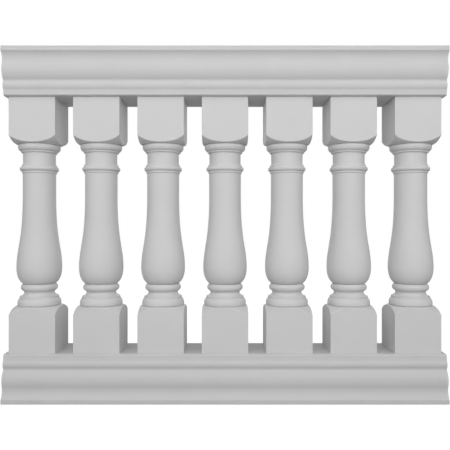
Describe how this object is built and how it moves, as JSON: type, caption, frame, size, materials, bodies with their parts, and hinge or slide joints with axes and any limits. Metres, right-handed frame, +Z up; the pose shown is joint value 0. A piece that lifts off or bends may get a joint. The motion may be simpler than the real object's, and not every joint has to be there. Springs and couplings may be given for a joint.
{
  "type": "fiberglass balustrade section",
  "caption": "Straight guard section: moulded hollow top and bottom rails with a row of turned vase balusters on square blocks between them.",
  "frame": {"origin": "on the ground, under the middle of the section", "axes": "+X along the rails, +Y through the section from front to back, +Z up"},
  "size_m": [1.1424, 0.1776, 0.914],
  "materials": {
    "fiberglass": "matt light grey gelcoat",
    "steel": "galvanised"
  },
  "bodies": {
    "root": {"top_rail": "fiberglass", "bottom_rail": "fiberglass", "top_rail_soffit": "fiberglass", "bottom_rail_seat": "fiberglass", "top_rail_tube": "steel", "bottom_rail_tube": "steel", "baluster_1": "fiberglass", "baluster_2": "fiberglass", "baluster_3": "fiberglass", "baluster_4": "fiberglass", "baluster_5": "fiberglass", "baluster_6": "fiberglass", "baluster_7": "fiberglass", "tie_rod_1": "steel", "tie_rod_2": "steel", "tie_rod_3": "steel", "tie_rod_4": "steel", "tie_rod_5": "steel", "tie_rod_6": "steel", "tie_rod_7": "steel"}
  },
  "joints": []
}
